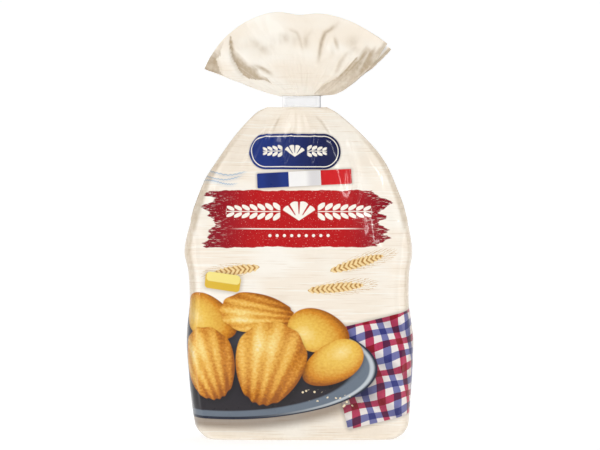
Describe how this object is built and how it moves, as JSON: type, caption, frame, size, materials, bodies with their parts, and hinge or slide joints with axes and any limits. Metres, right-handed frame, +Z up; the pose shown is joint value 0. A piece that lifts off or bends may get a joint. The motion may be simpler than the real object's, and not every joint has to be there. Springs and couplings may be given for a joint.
{
  "type": "bag of madeleines",
  "caption": "Gathered plastic film bag of small shell-shaped sponge cakes, standing on its flat bottom, with side gussets, a printed front and a plastic band round its neck.",
  "frame": {"origin": "middle of the bounding box's bottom face, on the surface that the bag stands on", "axes": "+Z up from the bag's flat bottom to its tuft, -Y out of its printed front, +X to the right as seen from the front"},
  "size_m": [0.1644, 0.065, 0.3071],
  "materials": {
    "film": "gloss printed film",
    "clip": "satin"
  },
  "bodies": {
    "root": {"bag": "film", "clip": "clip"}
  },
  "joints": []
}
